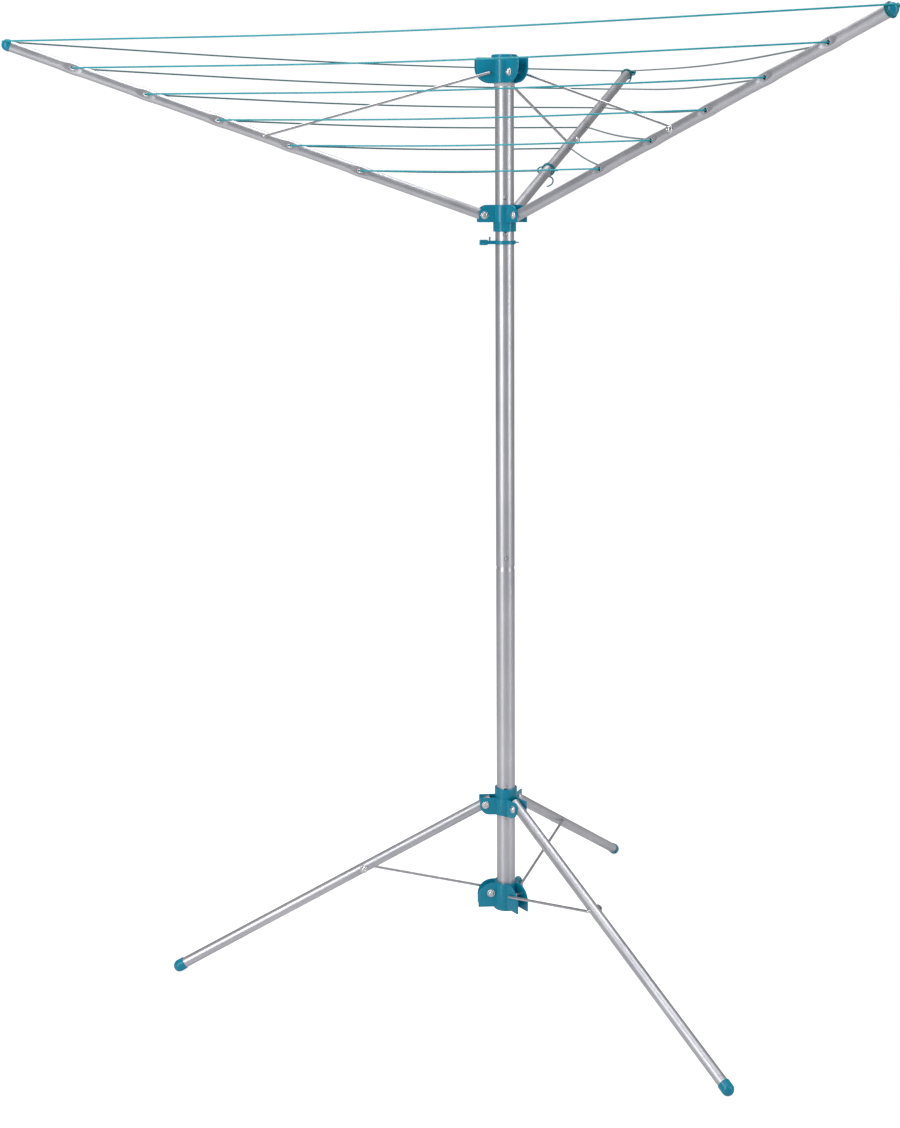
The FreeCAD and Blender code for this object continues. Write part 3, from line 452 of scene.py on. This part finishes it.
# a wrap: from turn to turn, and its points to a turn
WRAP_PITCH = 0.0032
WRAP_POINTS = 12
ARM_WRAP_RADIUS = ARM_RADIUS + BULGE + LINE_RADIUS
# the line sinks a little into the soft cap
TIP_WRAP_RADIUS = TIP_RADIUS + 0.8 * LINE_RADIUS
KNOT_POINTS = 24
KNOT_WIDTH = 0.45  # share by which a knot is pressed together across the arm
TAIL_RADIUS = 0.9 * LINE_RADIUS
MILLIMETRE = 0.001


def wrap(name, arm, start, turns, radius, begin):
    """The line wound round an arm, turn beside turn, from a distance along it and an angle in degrees."""
    points = []
    for i in range(round(turns * WRAP_POINTS) + 1):
        angle = math.radians(begin) + FULL_TURN * i / WRAP_POINTS
        along = start + WRAP_PITCH * i / WRAP_POINTS
        points.append(arm.at(along, radius * math.cos(angle), radius * math.sin(angle)))
    smooth_tube(name, points, LINE_RADIUS, arm.body, LINE_KNOT_PAINTED_SHADE)


def knot(name, arm, distance, side, up, scale):
    """A pulled-tight overhand knot: a trefoil, drawn out along the arm."""
    points = []
    for i in range(KNOT_POINTS):
        angle = FULL_TURN * i / KNOT_POINTS
        along = math.sin(3 * angle)
        aside = (math.sin(angle) + 2 * math.sin(2 * angle)) * KNOT_WIDTH
        above = (math.cos(angle) - 2 * math.cos(2 * angle)) * KNOT_WIDTH
        points.append(arm.at(distance + scale * along, side + scale * aside, up + scale * above))
    smooth_tube(name, points, LINE_RADIUS, arm.body, LINE_KNOT_PAINTED_SHADE)


def tail(name, arm, distance, offsets):
    """A short end that curls away from a knot, along (along, side, up) offsets in millimetres."""
    points = [
        arm.at(distance + along * MILLIMETRE, side * MILLIMETRE, up * MILLIMETRE)
        for along, side, up in offsets
    ]
    smooth_tube(name, points, TAIL_RADIUS, arm.body, LINE_KNOT_PAINTED_SHADE)


wrap("line_wraps_c1", ARMS["c"], start=LINE_HOLES[0] + 0.003, turns=2.5, radius=ARM_WRAP_RADIUS, begin=-90)
tail("line_tail_c1", ARMS["c"], LINE_HOLES[0], [
    (4, 4, -12), (3, -4, -13), (2, -9, -17), (0, -9, -24), (-1, -3, -30), (-1, 4, -32)])
tail("line_loop_c1", ARMS["c"], LINE_HOLES[0], [
    (3, 8, 8), (2, 15, 7), (2, 21, 2), (3, 20, -4), (4, 13, -7), (5, 8, -8)])
wrap("line_wraps_c_tip", ARMS["c"], start=ARM_LENGTH - 0.003, turns=2.25, radius=TIP_WRAP_RADIUS, begin=-45)
knot("line_knot_c_tip", ARMS["c"], ARM_LENGTH + 0.002, side=-TIP_WRAP_RADIUS - 0.004, up=0.003, scale=0.0040)
tail("line_tail_c_tip", ARMS["c"], ARM_LENGTH, [
    (0, -10, -6), (-3, -9, -12), (-8, -6, -16), (-13, -1, -17), (-17, 4, -15)])
wrap("line_wraps_b_tip", ARMS["b"], start=ARM_LENGTH + 0.001, turns=1.5, radius=TIP_WRAP_RADIUS, begin=60)
knot("line_knot_b_tip", ARMS["b"], ARM_LENGTH + 0.009, side=TIP_WRAP_RADIUS - 0.002, up=0.004, scale=0.0026)


# ---------------------------------------------------------------- arms
# a pressed dimple beside a line hole: its half length, half width and depth
DIMPLE_LENGTH = 0.0185
DIMPLE_WIDTH = 0.0075
DIMPLE_DEPTH = 0.0019
BULGE_LENGTH = 0.017
# an eyelet: radius of the ring and of its section
EYELET_RADIUS = 0.0040
EYELET_LIP = 0.00055
EYELET_POINTS = 20
EYELET_FINENESS = 3
ARM_FACETS = 56
# from ring to ring of the tube's mesh
PLAIN_STEP = 0.008
DIMPLE_STEP = 0.0014
CUTTER_LENGTH = 0.03
CUTTER_FACETS = 32
# edges sharper than these stay sharp: on tubes and moulded pieces, and on turned ones
SHARP = math.radians(40)
TURNED_SHARP = math.radians(50)


def arm_stops():
    """Distances of the rings along an arm: wide apart on plain tube, close together at a dimple."""
    stops = [-ARM_TAIL]
    while stops[-1] < ARM_LENGTH - SMALLEST:
        near = min(abs(stops[-1] - hole) for hole in LINE_HOLES)
        step = DIMPLE_STEP if near < 2 * DIMPLE_LENGTH else PLAIN_STEP
        stops.append(min(stops[-1] + step, ARM_LENGTH))
    return stops


def dent(distance, around):
    """How far the wall is pressed in, at a distance along and an arc length from the side of the arm."""
    depth = 0.0
    for hole in LINE_HOLES:
        spread = ((distance - hole) / DIMPLE_LENGTH) ** 2 + (around / DIMPLE_WIDTH) ** 2
        if spread < 1:
            depth = DIMPLE_DEPTH * (1 - spread) ** 2 * (1 + 2 * spread)
    return depth


def swell(distance, angle):
    """How far the pressed tube bulges above and below a line hole."""
    near = min(abs(distance - hole) for hole in LINE_HOLES) / BULGE_LENGTH
    return BULGE * math.exp(-near ** 2) * math.sin(angle) ** 2


def arm_shell(arm):
    """The outside of an arm, with pressed dimples round the line holes."""
    grid = bmesh.new()
    rings = []
    for distance in arm_stops():
        ring = []
        for i in range(ARM_FACETS):
            angle = FULL_TURN * i / ARM_FACETS
            from_side = math.remainder(angle, math.pi) * ARM_RADIUS
            radius = ARM_RADIUS - dent(distance, from_side) + swell(distance, angle)
            ring.append(grid.verts.new(arm.at(distance, radius * math.cos(angle), radius * math.sin(angle))))
        rings.append(ring)
    for low, high in zip(rings, rings[1:]):
        for i in range(ARM_FACETS):
            j = (i + 1) % ARM_FACETS
            grid.faces.new((low[i], low[j], high[j], high[i]))
    bmesh.ops.recalc_face_normals(grid, faces=grid.faces)
    return mesh_of(grid, f"arm_{arm.key}_shell")


def add_bar(work, arm, distance, radius):
    """Adds a bar across the arm, which a hole is cut with."""
    place = Matrix.Translation(arm.at(distance)) @ arm.across.to_track_quat("Z", "Y").to_matrix().to_4x4()
    bmesh.ops.create_cone(work, segments=CUTTER_FACETS, radius1=radius, radius2=radius, depth=CUTTER_LENGTH,
                          cap_ends=True, matrix=place)


def build_arm(arm):
    """The arm's tube with its wall, its dimples and all its holes, in place of the plain CAD one."""
    shell = bpy.data.objects.new(f"arm_{arm.key}_raw", arm_shell(arm))
    SCENE.collection.objects.link(shell)
    wall = shell.modifiers.new("wall", "SOLIDIFY")
    wall.thickness = ARM_WALL
    wall.offset = -1.0
    holes = [(distance, LINE_HOLE_RADIUS) for distance in LINE_HOLES]
    holes += [(STAY_HOLE, STAY_HOLE_RADIUS), (0.0, RIVET_HOLE_RADIUS)]
    bars = bmesh.new()
    for distance, radius in holes:
        add_bar(bars, arm, distance, radius)
    cutter = bpy.data.objects.new("bars", mesh_of(bars, "bars"))
    SCENE.collection.objects.link(cutter)
    drill = shell.modifiers.new("holes", "BOOLEAN")
    drill.operation = "DIFFERENCE"
    drill.solver = "EXACT"
    drill.object = cutter
    mesh = baked(shell)
    bpy.data.objects.remove(cutter)
    piece = add_object(f"arm_{arm.key}_tube", mesh, arm.body, ARM_TUBE)
    mesh.set_sharp_from_angle(angle=SHARP)
    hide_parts("arm_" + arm.key)


def build_eyelets(arm):
    """The rolled lips of the line holes, one smooth ring on each side of the arm at each hole."""
    curve = new_curve(f"arm_{arm.key}_eyelets_curve", EYELET_LIP)
    for hole in LINE_HOLES:
        for side in (-1, 1):
            ring = []
            for i in range(EYELET_POINTS):
                angle = FULL_TURN * i / EYELET_POINTS
                along = EYELET_RADIUS * math.cos(angle)
                up = EYELET_RADIUS * math.sin(angle)
                wall = ARM_RADIUS - dent(hole + along, up)
                ring.append(arm.at(hole + along, side * math.sqrt(wall ** 2 - up ** 2), up))
            add_spline(curve, "NURBS", ring, EYELET_FINENESS, closed=True)
    add_object(f"arm_{arm.key}_eyelets", curve_mesh(curve), arm.body, EYELET)


for arm in ARMS.values():
    build_arm(arm)
    build_eyelets(arm)


# ---------------------------------------------------------------- moulded plastic
MOULD_ROUND = 0.0009
ROUND_SEGMENTS = 3
ROUNDED_FROM = math.radians(32)  # edges that turn by more than this are rounded
WELD_DISTANCE = 1e-5
FLAT = math.radians(1)
MOULDED_HUBS = {"top_hub": "head", "arm_hub": "arm_hub", "leg_hub": "leg_hub", "bottom_hub": "stand"}


def build_moulding(node, body):
    """A copy of a moulded CAD node with its sharp edges rounded as a mould rounds them."""
    work = bmesh.new()
    work.from_mesh(frame["nodes"][node].data)
    bmesh.ops.remove_doubles(work, verts=work.verts, dist=WELD_DISTANCE)
    bmesh.ops.dissolve_limit(work, angle_limit=FLAT, verts=work.verts, edges=work.edges)
    holder = bpy.data.objects.new(node + "_raw", mesh_of(work, node + "_raw"))
    SCENE.collection.objects.link(holder)
    edge = holder.modifiers.new("edges", "BEVEL")
    edge.width = MOULD_ROUND
    edge.segments = ROUND_SEGMENTS
    edge.limit_method = "ANGLE"
    edge.angle_limit = ROUNDED_FROM
    edge.use_clamp_overlap = True
    mesh = baked(holder)
    piece = add_object(node + "_moulding", mesh, body, PLASTIC)
    mesh.set_sharp_from_angle(angle=SHARP)
    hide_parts(node)


for node, body in MOULDED_HUBS.items():
    build_moulding(node, body)


# ---------------------------------------------------------------- rivets, nuts and snap buttons
SIDE_CLEARANCE = 0.0005
EAR_WALL = 0.0025
FACE_GAP = 0.0001
# from the middle of a tube to the seat of a head on the ear beside it, and on the tube itself
EAR_SEAT = ARM_RADIUS + SIDE_CLEARANCE + EAR_WALL + FACE_GAP
TUBE_SEAT = ARM_RADIUS + FACE_GAP
RIVET_RADIUS = 0.0030
HEAD_RADIUS = 0.0070
HEAD_HEIGHT = 0.0036
NUT_RADIUS = 0.0075
NUT_HEIGHT = 0.0060
BUTTON_RADIUS = 0.0044
BUTTON_RISE = 0.0026
BUTTON_DEPTH = 0.0050
BUTTONS = ("arm_button_low", "arm_button_high", "seam_button", "leg_button_high", "leg_button_low")
TURNED_FACETS = 36
# a pressed head from its rim to its middle: shares of its radius and of its height
HEAD_SHAPE = [(1.0, 0.0), (1.0, 0.18), (0.96, 0.34), (0.86, 0.42), (0.76, 0.40), (0.72, 0.46), (0.68, 0.66),
              (0.56, 0.86), (0.40, 0.97), (0.26, 1.0), (0.18, 0.94), (0.10, 0.88), (0.0, 0.86)]


def lathe(work, profile, origin, axis):
    """Turns an open profile of (radius, height) about an axis through origin."""
    turn = axis.to_track_quat("Z", "Y")
    rings = []
    for radius, height in profile:
        count = TURNED_FACETS if radius > SMALLEST else 1
        ring = []
        for i in range(count):
            angle = FULL_TURN * i / count
            corner = Vector((radius * math.cos(angle), radius * math.sin(angle), height))
            ring.append(work.verts.new(origin + turn @ corner))
        rings.append(ring)
    for low, high in zip(rings, rings[1:]):
        for i in range(TURNED_FACETS):
            j = i + 1
            corners = (low[i % len(low)], low[j % len(low)], high[j % len(high)], high[i % len(high)])
            unique = list(dict.fromkeys(corners))
            if len(unique) > 2:
                work.faces.new(unique)


def head(work, origin, axis, radius, height):
    """A closed pressed head that stands on a face at origin."""
    lathe(work, [(0.0, 0.0)] + [(radius * r, height * h) for r, h in HEAD_SHAPE], origin, axis)


def finish_turned(work, name, body, material, node):
    """The turned shapes as one piece, in place of a CAD node."""
    bmesh.ops.recalc_face_normals(work, faces=work.faces)
    mesh = mesh_of(work, name)
    piece = add_object(name, mesh, body, material)
    mesh.set_sharp_from_angle(angle=TURNED_SHARP)
    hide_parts(node)


def rod_plane(rod, key):
    """The direction across a rod's upright plane, and the middle of the tube that its far end is in."""
    if rod == "stay":
        return ARMS[key].across, ARMS[key].at(STAY_HOLE)
    pivot = Vector(JOINTS[f"leg_{key}_fold"]["pos_m"])
    across = UP.cross(pivot).normalized()
    fall = across.cross(UP) * math.cos(LEG_FALL) - UP * math.sin(LEG_FALL)
    return across, pivot + fall * SPREADER_HOLE


for limb in ("arm", "leg"):
    work = bmesh.new()
    for key in LINE_ORDER:
        joint = JOINTS[f"{limb}_{key}_fold"]
        pivot = Vector(joint["pos_m"])
        axis = -Vector(joint["axis"])
        for end in (-axis, axis):
            head(work, pivot + end * EAR_SEAT, end, HEAD_RADIUS, HEAD_HEIGHT)
        shank = [(0.0, -EAR_SEAT), (RIVET_RADIUS, -EAR_SEAT), (RIVET_RADIUS, EAR_SEAT), (0.0, EAR_SEAT)]
        lathe(work, shank, pivot, axis)
    finish_turned(work, limb + "_rivets_pressed", limb + "_hub", CHROME, limb + "_rivets")

# both nuts of a rod are on the side of its plane that the wire isn't on
for rod, side in (("stay", -1), ("spreader", 1)):
    for key in LINE_ORDER:
        hinge = Vector(JOINTS[f"{rod}_{key}_fold"]["pos_m"])
        across, far = rod_plane(rod, key)
        work = bmesh.new()
        head(work, hinge + across * side * EAR_SEAT, across * side, NUT_RADIUS, NUT_HEIGHT)
        head(work, far + across * side * TUBE_SEAT, across * side, NUT_RADIUS, NUT_HEIGHT)
        finish_turned(work, f"{rod}_{key}_nuts_pressed", f"{rod}_{key}", CHROME, f"{rod}_{key}_nuts")

for button in BUTTONS:
    low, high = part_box(button)
    out = Vector(JOINTS[button + "_press"]["axis"]).normalized()
    foot = UP * (low[2] + high[2]) / 2 + out * (POLE_RADIUS - BUTTON_DEPTH)
    dome = [(BUTTON_RADIUS * r, BUTTON_DEPTH + BUTTON_RISE * h) for r, h in HEAD_SHAPE]
    work = bmesh.new()
    lathe(work, [(0.0, 0.0), (BUTTON_RADIUS, 0.0)] + dome, foot, out)
    finish_turned(work, button + "_pressed", button, BUTTON_PAINTED_SHADE, button)

# each leaf spring is copied onto a piece of its own, on the body of its CAD node
for button in BUTTONS:
    node = button.replace("button", "spring")
    joint = JOINTS[button + "_press"]
    out = Vector(joint["axis"]).normalized()
    mesh = frame["nodes"][node].data.copy()
    spring = add_object(node + "_leaf", mesh, frame["nodes"][node]["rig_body"], SPRING, False)
    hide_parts(node)
    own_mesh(spring)


# ---------------------------------------------------------------- carried-over pieces
slots = {entry["node"]: entry["material_slot"] for entry in frame["record"]["subparts"]}
for name, item in frame["nodes"].items():
    item.data.materials.clear()
    item.data.materials.append(BY_SLOT[slots[name]])


# ---------------------------------------------------------------- floor and light
# how bright the floor and the sky look, and how bright the sky shines on the object
SEEN_FLOOR = 0.74
SEEN_SKY = 1.05
LIT_SKY = 0.30
FLOOR_HALF = 30.0
WHITE = (1.0, 1.0, 1.0, 1.0)


def area_light(name, place, target, size, power):
    """A soft box, as wide and high as its size says, that faces a target."""
    data = bpy.data.lights.new(name, "AREA")
    data.shape = "RECTANGLE"
    data.size, data.size_y = size
    data.energy = power
    lamp = bpy.data.objects.new(name, data)
    lamp.location = place
    lamp.rotation_euler = (Vector(target) - Vector(place)).to_track_quat("-Z", "Y").to_euler()
    SCENE.collection.objects.link(lamp)


def seen_or_lit(tree, seen, lit):
    """A number that is one value to the camera and another to the light that falls on the object."""
    path = tree.nodes.new("ShaderNodeLightPath")
    choice = tree.nodes.new("ShaderNodeMapRange")
    choice.inputs["To Min"].default_value = lit
    choice.inputs["To Max"].default_value = seen
    tree.links.new(path.outputs["Is Camera Ray"], choice.inputs["Value"])
    return choice.outputs["Result"]


paper, paper_tree, paper_shader = node_material("pale_floor")
clouds = noise(paper_tree, 1.5, 2.0)
tint(paper_tree, clouds, (0.80, 0.80, 0.80), (0.82, 0.82, 0.82), paper_shader.inputs["Base Color"])
paper_shader.inputs["Roughness"].default_value = 0.30
paper_shader.inputs["Emission Color"].default_value = WHITE
paper_tree.links.new(seen_or_lit(paper_tree, SEEN_FLOOR, 0.0), paper_shader.inputs["Emission Strength"])
work = bmesh.new()
bmesh.ops.create_grid(work, x_segments=1, y_segments=1, size=FLOOR_HALF)
floor = bpy.data.objects.new("floor", mesh_of(work, "floor"))
SCENE.collection.objects.link(floor)
floor.data.materials.append(paper)

world = bpy.data.worlds.new("studio")
world.use_nodes = True
sky = world.node_tree.nodes["Background"]
sky.inputs["Color"].default_value = WHITE
world.node_tree.links.new(seen_or_lit(world.node_tree, SEEN_SKY, LIT_SKY), sky.inputs["Strength"])
SCENE.world = world
area_light("key", place=(-2.4, -1.8, 1.9), target=(0, 0, 1.0), size=(0.8, 3.4), power=58.0)
area_light("fill", place=(2.6, -2.2, 1.9), target=(0, 0, 1.0), size=(0.6, 3.4), power=38.0)
area_light("top", place=(0.0, 0.4, 4.0), target=(0, 0, 0.9), size=(2.4, 2.4), power=60.0)
SCENE.view_settings.view_transform = "Standard"
